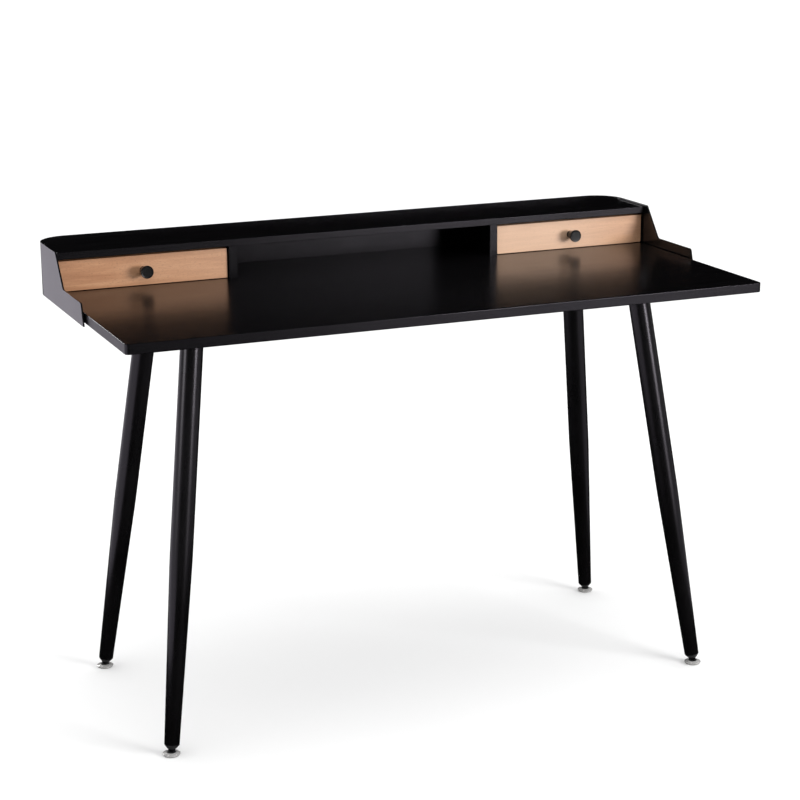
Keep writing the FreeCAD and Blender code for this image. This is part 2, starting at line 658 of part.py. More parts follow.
def along_leg(across, depth, distance):
    """Bound coordinates of the point on a leg's axis at a distance above its ball's centre."""
    axis = leg_axis(across, depth)
    outwards = "%d * leg_side + %d * spread_side * (1 - ball_high / (%s))" % (across, across, UNDERSIDE)
    forwards = "%s + (%s) * (1 - ball_high / (%s))" % (depth, LEG_SPREAD[depth], UNDERSIDE)
    return ("%s + (%s) * %.9f" % (outwards, distance, axis.x),
            "%s + (%s) * %.9f" % (forwards, distance, axis.y),
            "ball_high + (%s) * %.9f" % (distance, axis.z))


def make_leg_tube(name, across, depth):
    """A steel tube, straight above the knee and tapered below it, mitred under its plate."""
    long = "desk_top"
    inner_upper = "tube_upper - tube_wall"
    inner_lower = "tube_lower - tube_wall"
    blank = turn_body(name + "_blank", [(inner_lower, "0"), ("tube_lower", "0"),
                                        ("tube_upper", "tube_knee"), ("tube_upper", long),
                                        (inner_upper, long), (inner_upper, "tube_knee")])
    axis = leg_axis(across, depth)
    place(blank, *along_leg(across, depth, TUBE_START), turned_to(axis.x, axis.y, axis.z))
    waste = doc.addObject("Part::Box", name + "_waste")
    for side in ("Length", "Width", "Height"):
        bind(waste, side, "2 * plate_size")
    place(waste, "%d * leg_side - plate_size" % across, "%s - plate_size" % depth,
          "%s - plate_thick" % UNDERSIDE)
    cut = doc.addObject("Part::Cut", name)
    cut.Base = blank
    cut.Tool = waste
    keep(cut, name)


def make_leg_plate(name, across, depth):
    body = board_body(name, "plate_size", "plate_size", "plate_thick")
    thick = value("plate_thick")
    round_edges(body, "plate_round", lambda edge: abs(edge.BoundBox.ZLength - thick) < 0.01)
    edge_in = "(plate_size - plate_pitch) / 2"
    near, far = edge_in, "plate_size - %s" % edge_in
    cut_holes(body, [(near, near), (near, far), (far, near), (far, far)], "plate_hole", "plate_thick")
    place(body, "%d * leg_side - plate_size / 2" % across, "%s - plate_size / 2" % depth,
          "%s - plate_thick" % UNDERSIDE)
    keep(body, name)


def make_leg_cap(name, across, depth):
    """A black plug in the tube's end, bevelled below and bored for the levelling stud."""
    shoulder = "cap_taper + cap_land"
    end = "%s + cap_long" % shoulder
    body = turn_body(name, [("cap_bore", "0"), ("cap_tip", "0"), ("tube_lower", "cap_taper"),
                            ("tube_lower", shoulder), ("cap_neck", shoulder),
                            ("cap_neck", end), ("cap_bore", end)])
    taper = value("cap_taper")
    round_edges(body, "cap_land", lambda edge: lies_at(edge, z=taper))
    axis = leg_axis(across, depth)
    place(body, *along_leg(across, depth, "cap_start"), turned_to(axis.x, axis.y, axis.z))
    keep(body, name)


def make_foot_stud(name, across, depth):
    """A threaded stud with a ball on its lower end and a hexagonal collar to turn it by."""
    body = turn_body(name + "_shank", [("0", "0"), ("neck_radius", "0"), ("neck_radius", "collar_start"),
                                       ("stud_radius", "collar_start"), ("stud_radius", "stud_end"),
                                       ("0", "stud_end")])
    collar = new_sketch(body, "XY", "collar_start")
    draw_hexagon(collar, "collar_flat")
    add_pad(body, collar, "collar_end - collar_start")
    ball = doc.addObject("Part::Sphere", name + "_ball")
    bind(ball, "Radius", "ball_radius")
    axis = leg_axis(across, depth)
    turn = turned_to(axis.x, axis.y, axis.z)
    centre = along_leg(across, depth, "0")
    place(body, *centre, turn)
    place(ball, *centre, turn)
    whole = doc.addObject("Part::Fuse", name)
    whole.Base = body
    whole.Tool = ball
    keep(whole, name)


def make_foot_pad(name, across, depth):
    """A round levelling pad that lies flat, with a socket for the stud's ball."""
    body = turn_body(name + "_disc", [("0", "0"), ("pad_base", "0"), ("pad_radius", "pad_edge"),
                                      ("pad_radius", "pad_rim"), ("boss_base", "pad_slope"),
                                      ("boss_top", "boss_high"), ("0", "boss_high")])
    rim = value("pad_rim")
    round_edges(body, "pad_round", lambda edge: lies_at(edge, z=rim))
    socket = doc.addObject("Part::Sphere", name + "_socket")
    bind(socket, "Radius", "ball_radius + ball_clear")
    across_at, depth_at, height_at = along_leg(across, depth, "0")
    place(body, across_at, depth_at, "0")
    place(socket, across_at, depth_at, height_at)
    cut = doc.addObject("Part::Cut", name)
    cut.Base = body
    cut.Tool = socket
    keep(cut, name)


# ---------------------------------------------------------------- fasteners in groups

def make_gallery_fixings():
    """Pins welded inside the steel, a ring on each to hold the gap, and nuts where there is room."""
    pin = turn_body("pin_source", [("0", "0"), ("pin_radius", "0"), ("pin_radius", "pin_long"),
                                   ("0", "pin_long")])
    spacer = turn_body("spacer_source", [("pin_radius", "0"), ("spacer_radius", "0"),
                                         ("spacer_radius", "steel_gap"), ("pin_radius", "steel_gap")])
    nut = new_body("nut_source")
    outline = new_sketch(nut)
    draw_hexagon(outline, "nut_flat")
    add_pad(nut, outline, "nut_thick")
    cut_holes(nut, [("0", "0")], "pin_radius", "nut_thick")

    inner_side = "(desk_width / 2 + steel_gap)"
    inner_back = "desk_depth + steel_gap"
    edge_height = "desk_top - pin_drop"
    pins = []
    for _, sign in SIDES:
        pins += [("%d * %s" % (sign, inner_side), depth, edge_height, towards(-sign))
                 for depth in GALLERY_PIN_DEPTHS]
        pins += [("%d * %s" % (sign, inner_side), depth, PANEL_PIN_HEIGHT, towards(-sign))
                 for depth in PANEL_PIN_DEPTHS]
        pins += [("%d * %s" % (sign, across), inner_back, edge_height, FORWARD)
                 for across in BACK_EDGE_PINS]
        pins += [("%d * %s" % (sign, across), inner_back, BACK_PIN_HEIGHT, FORWARD)
                 for across in BACK_PANEL_PINS]
    copies("gallery_pins", pin, pins)
    copies("gallery_spacers", spacer, pins)

    nuts = []
    for _, sign in SIDES:
        seat = "%d * (%s + nut_recess)" % (sign, BAY_OUTER)
        nuts += [(seat, depth, PANEL_PIN_HEIGHT, towards(-sign)) for depth in PANEL_PIN_DEPTHS]
        nuts += [("%d * %s" % (sign, across), BACK_FRONT, BACK_PIN_HEIGHT, FORWARD)
                 for across in BACK_PANEL_PINS]
    copies("gallery_nuts", nut, nuts)


def make_carcass_screws():
    head = "(carcass_seat - head_sunk)"
    source = headed_screw("carcass_screw_source", "carcass_radius", "carcass_long",
                          "carcass_head - head_clear", head)
    height = "%s + carcass_seat - %s" % (UNDERSIDE, head)
    copies("carcass_screws", source, [(u, v, height, UPRIGHT) for u, v in carcass_screw_places()])


def make_plate_screws():
    source = headed_screw("plate_screw_source", "plate_screw", "plate_screw_long",
                          "plate_screw_head", "head_tall")
    height = "%s - plate_thick - head_tall" % UNDERSIDE
    copies("leg_plate_screws", source, [(u, v, height, UPRIGHT) for u, v in plate_screw_places()])


def make_shelf_dowels():
    source = turn_body("dowel_source", [("0", "0"), ("dowel_radius", "0"), ("dowel_radius", "dowel_long"),
                                        ("0", "dowel_long")])
    places = [(u, v, "%s + dowel_up - dowel_long" % SHELF_UNDERSIDE, UPRIGHT) for u, v in dowel_places()]
    copies("shelf_dowels", source, places)


def make_runner_screws():
    head = "(small_seat - head_sunk)"
    source = headed_screw("runner_screw_source", "small_radius", "small_long",
                          "small_head - head_clear", head)
    seat = "(runner_deep - small_seat + %s)" % head
    places = []
    for _, sign in SIDES:
        outer = "%d * (%s - %s)" % (sign, BAY_OUTER, seat)
        inner = "%d * (%s + %s)" % (sign, BAY_INNER, seat)
        for depth in RUNNER_SCREW_DEPTHS:
            places.append((outer, depth, "runner_middle", towards(sign)))
            places.append((inner, depth, "runner_middle", towards(-sign)))
    copies("runner_screws", source, places)


# ---------------------------------------------------------------- assembly, checks and export

def build():
    fill_sheet()
    make_desktop()
    make_gallery()
    make_shelf()
    make_dividers()
    make_side_panels()
    make_back_panel()
    make_runners()
    make_drawer_stops()
    make_drawer_buffers()
    for side, sign in SIDES:
        make_drawer_front(side, sign)
        make_drawer_ends(side, sign)
        make_drawer_sides(side, sign)
        make_drawer_bottom(side, sign)
        make_knob(side, sign)
        make_drawer_screws(side, sign)
    for end, side, across, depth in LEGS:
        ending = "%s_%s" % (end, side)
        make_leg_tube("leg_" + ending, across, depth)
        make_leg_plate("leg_plate_" + ending, across, depth)
        make_leg_cap("leg_cap_" + ending, across, depth)
        make_foot_stud("foot_stud_" + ending, across, depth)
        make_foot_pad("foot_pad_" + ending, across, depth)
    make_gallery_fixings()
    make_carcass_screws()
    make_plate_screws()
    make_shelf_dowels()
    make_runner_screws()
    doc.recompute()


def check():
    for item in doc.Objects:
        if "Invalid" in item.State or "Error" in item.State:
            raise RuntimeError("%s is in state %s" % (item.Name, item.State))
    for item in parts:
        if item.Shape.isNull() or not item.Shape.isValid() or not item.Shape.Solids:
            raise RuntimeError("%s has no valid solid" % item.Label)
    labels = [item.Label for item in parts]
    if len(set(labels)) != len(labels):
        raise RuntimeError("two sub-parts share a label")


def export():
    os.makedirs("parts", exist_ok=True)
    for item in parts:
        item.Shape.exportStep("parts/%s.step" % item.Label)
    print("%d sub-parts" % len(parts))


build()
check()
export()
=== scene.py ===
import json
import math
import bmesh
import bpy
from mathutils import Matrix, Vector

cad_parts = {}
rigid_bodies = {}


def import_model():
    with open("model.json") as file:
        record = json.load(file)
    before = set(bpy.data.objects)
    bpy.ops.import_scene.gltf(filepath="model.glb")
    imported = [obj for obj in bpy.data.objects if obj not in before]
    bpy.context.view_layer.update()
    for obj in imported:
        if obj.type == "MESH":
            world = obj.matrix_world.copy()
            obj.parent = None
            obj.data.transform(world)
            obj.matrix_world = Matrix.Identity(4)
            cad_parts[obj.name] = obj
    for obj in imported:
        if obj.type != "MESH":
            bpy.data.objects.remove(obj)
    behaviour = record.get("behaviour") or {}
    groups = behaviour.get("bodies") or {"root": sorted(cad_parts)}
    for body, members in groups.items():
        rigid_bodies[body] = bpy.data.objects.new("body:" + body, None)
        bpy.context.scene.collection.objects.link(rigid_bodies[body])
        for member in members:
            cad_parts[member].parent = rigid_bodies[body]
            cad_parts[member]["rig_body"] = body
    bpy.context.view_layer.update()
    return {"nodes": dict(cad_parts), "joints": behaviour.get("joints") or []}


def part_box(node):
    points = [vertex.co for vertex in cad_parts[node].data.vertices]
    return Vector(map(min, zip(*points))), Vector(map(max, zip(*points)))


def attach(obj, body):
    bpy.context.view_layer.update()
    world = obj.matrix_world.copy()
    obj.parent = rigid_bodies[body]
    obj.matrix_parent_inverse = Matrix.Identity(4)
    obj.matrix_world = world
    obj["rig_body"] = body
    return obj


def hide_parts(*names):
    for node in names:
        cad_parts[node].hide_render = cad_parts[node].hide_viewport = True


# The looks of a writing desk with a low hutch: black lacquered boards, a black steel gallery, two beech
# drawers with black knobs, and four tapered steel legs on bright plated feet. Metres, in the frame's own
# axes: +Z up, -Y towards the person who sits at it.

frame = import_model()
nodes = frame["nodes"]

MM = 0.001
SIDES = ("left", "right")
LEGS = [end + "_" + side for end in ("front", "rear") for side in SIDES]
SCREWS = ["carcass_screws", "leg_plate_screws", "runner_screws"]
SCREWS += ["drawer_%s_%s" % (side, kind) for side in SIDES for kind in ("knob_screw", "front_screws")]

# How close points count as one, how close a measured size must be, and the angle that stays sharp.
MERGE = 0.002 * MM
NEAR = 0.03 * MM
CREASE = 35

# The cast of the black finishes' gloss.
VIOLET = (0.96, 0.91, 1.0, 1.0)

# How much duller the desktop's side edges are than its face, and where that starts and is complete.
EDGE_DULL = 0.15
EDGE_START = 1.0 * MM
EDGE_END = 0.2 * MM

# A rounded corner's steps, and the points round each kind of turned or swept shape.
ARC_STEPS = 5
TURNED_SIDES = 64
FINE_SIDES = 96
STUD_SIDES = 48
SCREW_SIDES = 36

# A knob's flat lip, how deep its face is dished, and how far each of its corners is rounded.
KNOB_LIP = 1.1 * MM
KNOB_DISH = 0.25 * MM
KNOB_FOOT_SOFT = 0.3 * MM
KNOB_WAIST_SOFT = 1.4 * MM
KNOB_RIM_SOFT = 0.5 * MM
KNOB_FACE_SOFT = 0.8 * MM
KNOB_LIP_SOFT = 0.4 * MM
KNOB_DISH_SOFT = 0.6 * MM

# A leg: half of its soft knee's length, its end's rolled lip and the lip's middle as a share of it, and
# the rippled weld round its top.
KNEE_SOFT = 22 * MM
KNEE_STEPS = 8
TUBE_ROLL = 0.4 * MM
ROLL_MIDDLE = 0.3
BEAD = 2.1 * MM
BEAD_SHALLOW = 0.18
BEAD_SIDES = 12
BEAD_COUNT = 288
BEAD_RIPPLES = 48

# A leg's cap: the flat band under its shoulder, and how far its corners are rounded.
CAP_LAND = 0.5 * MM
CAP_TIP_SOFT = 0.7 * MM
CAP_EDGE_SOFT = 0.8 * MM

# A levelling stud: its neck as a share of its ball, its thread, and how far its hexagon's corners go.
NECK_SHARE = 0.69
BALL_STEPS = 16
THREAD_PITCH = 1.25 * MM
THREAD_DEPTH = 0.6 * MM
THREAD_ROWS = 6
HEX_CHAMFER = 1.06

# A pad's socket: its room round the ball, and how far the pad's and its own corners are rounded.
BALL_GAP = 0.3 * MM
SOCKET_STEPS = 12
PAD_BASE_SOFT = 0.5 * MM
PAD_RIM_SOFT = 0.6 * MM
PAD_TOP_SOFT = 0.4 * MM
SOCKET_SOFT = 0.5 * MM

# A screw's point, its head's roundings and crown, and its cross recess, as shares of its own sizes.
POINT_SHARE = 0.55
SEAT_SOFT = 0.1
HEAD_SOFT = 0.45
CROWN = 0.78
CROSS_REACH = 0.52
CROSS_HALF = 0.12
CROSS_TAPER = 0.7
CROSS_DEEP = 0.6

NUT_CHAMFER = 0.25

# The edges that are eased, and by how much.
EASED = {"gallery_surround": 0.4 * MM, "drawer_left_front": 0.6 * MM, "drawer_right_front": 0.6 * MM}
EASE_ANGLE = 50

# The camera looks down on the desk from the front left; the yaw is to the right of +Y, the pitch below level.
CAMERA_PLACE = (-1.4354, -3.4196, 1.5130)
CAMERA_YAW = 22.846
CAMERA_PITCH = 14.805
CAMERA_ROLL = 0.37
CAMERA_LENS = 91.87

# The dome's strength at the horizon and overhead, and the floor's half width and its drop under the feet.
DOME_LOW = 0.46
DOME_HIGH = 2.3
FLOOR_HALF = 40.0
FLOOR_DROP = 0.0002

# Each softbox: where it is, where it faces, its width, its height, its power and its colour. The key is
# for the matt light only, and the others only for the gloss.
WHITE = (1.0, 1.0, 1.0)
KEY = ("key", (2.5, -3.3, 1.35), (0.1, 0.0, 0.8), 1.8, 0.9, 140, WHITE)
GLOSS_BOXES = [("gleam", (2.3, -4.3, 0.8), (0.1, 0.0, 0.8), 1.3, 0.34, 56, (1.0, 0.98, 1.0)),
               ("side", (-3.4, -0.6, 0.95), (-0.5, -0.2, 0.6), 1.1, 0.6, 14, WHITE),
               ("rim", (-1.25, 2.9, 1.6), (-0.6, -0.1, 0.76), 1.0, 0.5, 20, WHITE)]

# Each cloth on the floor: its corners, and the darkest and lightest of its colour.
FLAG_LIFT = 0.001
FLAGS = {
    "dark_flag": (((-0.9, 0.2), (-1.1, -0.5), (-8, -6.3), (-8, -9), (0.9, -9), (0.9, -0.6), (0.75, 0.2),
                   (12, 0.2), (12, 12), (-1.0, 12)), (0.002, 0.002, 0.002), (0.004, 0.004, 0.004)),
    "grey_flag": (((0.75, 0.2), (0.9, -0.6), (0.9, -9), (12, -9), (12, 0.2)),
                  (0.19, 0.18, 0.2), (0.22, 0.21, 0.23)),
    "pale_flag": (((-0.9, 0.2), (-1.0, 12), (-12, 12), (-12, -9), (-8, -9), (-8, -6.3), (-1.1, -0.5)),
                  (0.67, 0.635, 0.71), (0.7, 0.665, 0.74)),
}


# ---------------------------------------------------------------- finishes

class Finish:
    """A procedural material being wired up: one principled shader and the nodes that feed it."""

    def __init__(self, name, **constants):
        self.material = bpy.data.materials.new(name)
        self.material.use_nodes = True
        self.tree = self.material.node_tree
        self.shader = self.tree.nodes["Principled BSDF"]
        for socket, value in constants.items():
            self.shader.inputs[socket.replace("_", " ")].default_value = value
        self.place = self.node("ShaderNodeTexCoord").outputs["Object"]

    def node(self, kind, **settings):
        made = self.tree.nodes.new(kind)
        for setting, value in settings.items():
            setattr(made, setting, value)
        return made

    def feed(self, socket, value):
        """Puts a number on a socket, or links another node's output to it."""
        if isinstance(value, bpy.types.NodeSocket):
            self.tree.links.new(value, socket)
        else:
            socket.default_value = value

    def stretched(self, per_metre):
        """Object coordinates in feature sizes: how many features fit in a metre along x, y and z."""
        mapping = self.node("ShaderNodeMapping")
        self.feed(mapping.inputs["Vector"], self.place)
        mapping.inputs["Scale"].default_value = per_metre
        return mapping.outputs["Vector"]

    def noise(self, per_metre, detail=3.0, rough=0.5, twist=0.0):
        texture = self.node("ShaderNodeTexNoise")
        self.feed(texture.inputs["Vector"], self.stretched(per_metre))
        texture.inputs["Scale"].default_value = 1.0
        texture.inputs["Detail"].default_value = detail
        texture.inputs["Roughness"].default_value = rough
        texture.inputs["Distortion"].default_value = twist
        return texture.outputs["Fac"]

    def cells(self, per_metre):
        texture = self.node("ShaderNodeTexVoronoi")
        self.feed(texture.inputs["Vector"], self.stretched(per_metre))
        texture.inputs["Scale"].default_value = 1.0
        return texture.outputs["Distance"]

    def spread(self, source, low, high, start, end):
        """Maps source's range low to high onto start to end."""
        made = self.node("ShaderNodeMapRange")
        self.feed(made.inputs["Value"], source)
        for socket, value in (("From Min", low), ("From Max", high), ("To Min", start), ("To Max", end)):
            made.inputs[socket].default_value = value
        return made.outputs["Result"]

    def maths(self, operation, first, second):
        made = self.node("ShaderNodeMath", operation=operation)
        self.feed(made.inputs[0], first)
        self.feed(made.inputs[1], second)
        return made.outputs["Value"]

    def tint(self, factor, first, second):
        made = self.node("ShaderNodeMix", data_type="RGBA")
        self.feed(made.inputs[0], factor)
        for socket, value in ((made.inputs[6], first), (made.inputs[7], second)):
            self.feed(socket, (*value, 1.0) if isinstance(value, tuple) else value)
        return made.outputs[2]

    def ramp(self, source, stops):
        made = self.node("ShaderNodeValToRGB")
        self.feed(made.inputs["Fac"], source)
        scale = made.color_ramp.elements
        scale[0].position, scale[0].color = stops[0][0], (*stops[0][1], 1.0)
        scale[1].position, scale[1].color = stops[-1][0], (*stops[-1][1], 1.0)
        for position, colour in stops[1:-1]:
            scale.new(position).color = (*colour, 1.0)
        return made.outputs["Color"]

    def along_x(self):
        split = self.node("ShaderNodeSeparateXYZ")
        self.feed(split.inputs["Vector"], self.place)
        return split.outputs["X"]

    def painted_sheen_along_x(self):
        """How much painted highlight lies on the veneer along x: it grows towards the right, and is taken
        back at the right end as painted shade.
        """
        along = self.along_x()
        rise = self.spread(along, -0.5, 0.3, 0.0, 0.5)
        fall = self.spread(along, 0.42, 0.6, 1.0, 0.3)
        return self.maths("MULTIPLY", rise, fall)

    def side_edge(self, amount):
        """An amount on the desktop's two side edges, where the lacquer sinks in and dries duller."""
        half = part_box("desktop")[1].x
        away = self.maths("ABSOLUTE", self.along_x(), 0.0)
        return self.spread(away, half - EDGE_START, half - EDGE_END, 0.0, amount)

    def colour(self, source):
        self.feed(self.shader.inputs["Base Color"], source)

    def roughness(self, source):
        self.feed(self.shader.inputs["Roughness"], source)

    def bump(self, height, depth):
        """Raises the surface by depth metres where height goes from 0 to 1."""
        made = self.node("ShaderNodeBump")
        self.feed(made.inputs["Height"], height)
        made.inputs["Strength"].default_value = 1.0
        made.inputs["Distance"].default_value = depth
        self.feed(self.shader.inputs["Normal"], made.outputs["Normal"])


def black_board():
    """Satin black lacquer on fibreboard, with the ghost of a fine grain running along the board."""
    finish = Finish("black_board", IOR=1.42, Specular_Tint=VIOLET)
    grain = finish.noise((9, 160, 420), detail=4, rough=0.6)
    cloud = finish.noise((7, 7, 7), detail=2)
    peel = finish.noise((420, 420, 420), detail=2)
    black, soft_black = (0.0012, 0.0011, 0.0013), (0.0034, 0.0032, 0.0036)
    finish.colour(finish.ramp(grain, [(0.3, black), (0.7, soft_black)]))
    sheen = finish.spread(finish.maths("ADD", grain, cloud), 0.7, 1.3, 0.2, 0.24)
    finish.roughness(finish.maths("ADD", sheen, finish.side_edge(EDGE_DULL)))
    streaks = finish.maths("MULTIPLY", grain, 0.6)
    finish.bump(finish.maths("ADD", streaks, finish.maths("MULTIPLY", peel, 0.4)), 6e-6)
    return finish.material


def black_sheet_steel():
    """Fine-textured satin powder coat."""
    finish = Finish("black_sheet_steel", IOR=1.4, Specular_Tint=VIOLET)
    beads = finish.noise((1500, 1500, 1500), detail=2, rough=0.55)
    cloud = finish.noise((11, 11, 11), detail=2)
    finish.colour(finish.ramp(beads, [(0.3, (0.002, 0.002, 0.0023)), (0.75, (0.006, 0.006, 0.0065))]))
    finish.roughness(finish.spread(cloud, 0.3, 0.7, 0.16, 0.2))
    finish.bump(beads, 12e-6)
    return finish.material


def black_tube_steel():
    """Smooth satin powder coat, with a faint orange peel."""
    finish = Finish("black_tube_steel", IOR=1.42, Specular_Tint=VIOLET)
    peel = finish.noise((330, 330, 330), detail=2)
    cloud = finish.noise((14, 14, 6), detail=2)
    finish.colour(finish.ramp(cloud, [(0.3, (0.0011, 0.001, 0.0011)), (0.7, (0.0028, 0.0026, 0.0028))]))
    finish.roughness(finish.spread(cloud, 0.3, 0.7, 0.25, 0.3))
    finish.bump(peel, 7e-6)
    return finish.material


def beech(name, dark, mid, light, pale, shine):
    """Beech cut along x: soft long bands, fine fibres and the short dark flecks of its rays.

    It has a painted highlight: paler towards the right, where the light falls stronger, and warmer again at
    its right end, a painted shade under the wing."""
    finish = Finish(name, IOR=1.5)
    band = finish.noise((6, 40, 95), detail=3, rough=0.5, twist=0.6)
    fibre = finish.noise((46, 700, 900), detail=3, rough=0.6, twist=0.35)
    ray = finish.noise((210, 1100, 1250), detail=1)
    bands = finish.ramp(band, [(0.22, dark), (0.5, mid), (0.8, light)])
    fibres = finish.tint(finish.spread(fibre, 0.38, 0.66, 0.0, 0.42), bands, dark)
    fleck = tuple(channel * 0.55 for channel in dark)
    flecked = finish.tint(finish.spread(ray, 0.6, 0.7, 0.0, 0.55), fibres, fleck)
    # pale is the colour of a painted highlight, mixed in along x; where it fades at the right end, that is
    # painted shade.
    finish.colour(finish.tint(finish.painted_sheen_along_x(), flecked, pale))
    finish.roughness(finish.spread(fibre, 0.3, 0.7, shine, shine + 0.14))
    finish.bump(fibre, 16e-6)
    return finish.material


def plywood():
    """Sanded birch plywood: pale bands with a fine darker grain."""
    finish = Finish("drawer_box_wood", IOR=1.45)
    band = finish.noise((8, 40, 30), detail=3, twist=0.5)
    fibre = finish.noise((60, 420, 900), detail=3)
    pale = finish.ramp(band, [(0.3, (0.5, 0.34, 0.19)), (0.7, (0.66, 0.49, 0.31))])
    finish.colour(finish.tint(finish.spread(fibre, 0.4, 0.7, 0.0, 0.35), pale, (0.4, 0.25, 0.13)))
    finish.roughness(finish.spread(fibre, 0.3, 0.7, 0.5, 0.64))
    finish.bump(fibre, 30e-6)
    return finish.material


def hardboard():
    finish = Finish("drawer_bottom_board", IOR=1.45)
    chips = finish.noise((260, 260, 260), detail=4, rough=0.7)
    finish.colour(finish.ramp(chips, [(0.3, (0.17, 0.095, 0.05)), (0.7, (0.33, 0.2, 0.11))]))
    finish.roughness(finish.spread(chips, 0.3, 0.7, 0.45, 0.62))
    finish.bump(chips, 24e-6)
    return finish.material


def black_knob():
    """Satin black lacquer over turned beech, whose pores just show."""
    finish = Finish("black_knob", IOR=1.4)
    pores = finish.noise((700, 2600, 2600), detail=2, rough=0.6)
    finish.colour(finish.ramp(pores, [(0.3, (0.003, 0.003, 0.003)), (0.75, (0.008, 0.0078, 0.008))]))
    finish.roughness(finish.spread(pores, 0.3, 0.7, 0.24, 0.32))
    finish.bump(pores, 8e-6)
    return finish.material


def black_plastic():
    finish = Finish("black_plastic", IOR=1.47)
    spark = finish.noise((2400, 2400, 2400), detail=2)
    finish.colour(finish.ramp(spark, [(0.3, (0.006, 0.006, 0.0065)), (0.7, (0.012, 0.012, 0.0125))]))
    finish.roughness(finish.spread(spark, 0.3, 0.7, 0.42, 0.54))
    finish.bump(spark, 16e-6)
    return finish.material


def chrome():
    """Bright plating over a pressed disc, with a few dull rubbed patches."""
    finish = Finish("chrome", Metallic=0.45, IOR=1.6)
    rub = finish.noise((160, 160, 160), detail=4, rough=0.65)
    finish.colour(finish.ramp(rub, [(0.3, (0.5, 0.49, 0.48)), (0.6, (0.68, 0.67, 0.66))]))
    finish.roughness(finish.spread(rub, 0.35, 0.75, 0.16, 0.34))
    finish.bump(finish.noise((900, 900, 900), detail=2), 5e-6)
    return finish.material


def zinc_steel():
    finish = Finish("zinc_steel", Metallic=1.0)
    spangle = finish.cells((700, 700, 700))
    rub = finish.noise((260, 260, 260), detail=3)
    finish.colour(finish.ramp(spangle, [(0.1, (0.42, 0.43, 0.45)), (0.8, (0.62, 0.63, 0.64))]))
    finish.roughness(finish.spread(rub, 0.3, 0.7, 0.24, 0.42))
    finish.bump(rub, 12e-6)
    return finish.material


def nylon():
    finish = Finish("nylon", IOR=1.53, Subsurface_Weight=0.15, Subsurface_Scale=0.002)
    cloud = finish.noise((180, 180, 180), detail=3)
    finish.colour(finish.ramp(cloud, [(0.3, (0.6, 0.57, 0.5)), (0.7, (0.72, 0.7, 0.63))]))
    finish.roughness(finish.spread(cloud, 0.3, 0.7, 0.35, 0.5))
    finish.bump(cloud, 10e-6)
    return finish.material


def rubber():
    finish = Finish("rubber", IOR=1.5)
    bloom = finish.noise((600, 600, 600), detail=3)
    finish.colour(finish.ramp(bloom, [(0.3, (0.008, 0.008, 0.008)), (0.7, (0.022, 0.022, 0.021))]))
    finish.roughness(finish.spread(bloom, 0.3, 0.7, 0.62, 0.82))
    finish.bump(bloom, 20e-6)
    return finish.material


FINISHES = {
    "black_board": black_board(),
    "black_sheet_steel": black_sheet_steel(),
    "black_tube_steel": black_tube_steel(),
    # Each beech's pale colour is a painted highlight towards the right of the drawers.
    "beech_veneer": beech("beech_veneer", dark=(0.42, 0.195, 0.098), mid=(0.56, 0.285, 0.15),
                          light=(0.65, 0.365, 0.21), pale=(0.84, 0.62, 0.46), shine=0.33),
    "raw_beech": beech("raw_beech", dark=(0.42, 0.25, 0.14), mid=(0.52, 0.33, 0.19),
                       light=(0.6, 0.4, 0.24), pale=(0.6, 0.4, 0.25), shine=0.55),
    "drawer_box_wood": plywood(),
    "drawer_bottom_board": hardboard(),
    "black_knob": black_knob(),
    "black_plastic": black_plastic(),
    "chrome": chrome(),
    "zinc_steel": zinc_steel(),
    "nylon": nylon(),
    "rubber": rubber(),
}


def paint_frame():
    """Gives each carried-over CAD node the finish of its own material slot."""
    for node in nodes.values():
        slot = node.material_slots[0].material.name.split(".")[0]
        node.material_slots[0].link = "OBJECT"
        node.material_slots[0].material = FINISHES[slot]


# ---------------------------------------------------------------- mesh helpers

def rounded(corners):
    """The (radius, height) points of a profile; a corner's third number is how far its rounding reaches."""
    points = []
    for index, (radius, height, *reach) in enumerate(corners):
        here = Vector((radius, height))
        if not reach:
            points.append(here)
            continue
        before = Vector(corners[index - 1][:2])
        after = Vector(corners[(index + 1) % len(corners)][:2])
        start = here + (before - here).normalized() * reach[0]
        end = here + (after - here).normalized() * reach[0]
        for step in range(ARC_STEPS + 1):
            part = step / ARC_STEPS
            points.append(start.lerp(here, part).lerp(here.lerp(end, part), part))
    return points


def ring(height, radius, count):
    """Points round the z axis; the radius and the height may each be a function of the angle."""
    points = []
    for index in range(count):
        angle = 2 * math.pi * index / count
        out = radius(angle) if callable(radius) else radius
        up = height(angle) if callable(height) else height
        points.append((out * math.cos(angle), out * math.sin(angle), up))
    return points


def skin(rings, closed=False, top=True):
    """A surface through rings of points: closed joins the last to the first, else the ends are filled."""
    shape = bmesh.new()
    rows = [[shape.verts.new(point) for point in points] for points in rings]
    count = len(rows[0])
    for lower, upper in zip(rows, rows[1:] + (rows[:1] if closed else [])):
        for index in range(count):
            after = (index + 1) % count
            shape.faces.new((lower[index], lower[after], upper[after], upper[index]))
    if not closed:
        shape.faces.new(reversed(rows[0]))
    if top and not closed:
        shape.faces.new(rows[-1])
    return shape


def lathe(profile, closed=False, count=TURNED_SIDES):
    return skin([ring(height, radius, count) for radius, height in rounded(profile)], closed)


def standing(origin, direction):
    """Places a shape so that its own z axis leaves the origin along a direction."""
    return Matrix.Translation(origin) @ Vector(direction).to_track_quat("Z", "Y").to_matrix().to_4x4()


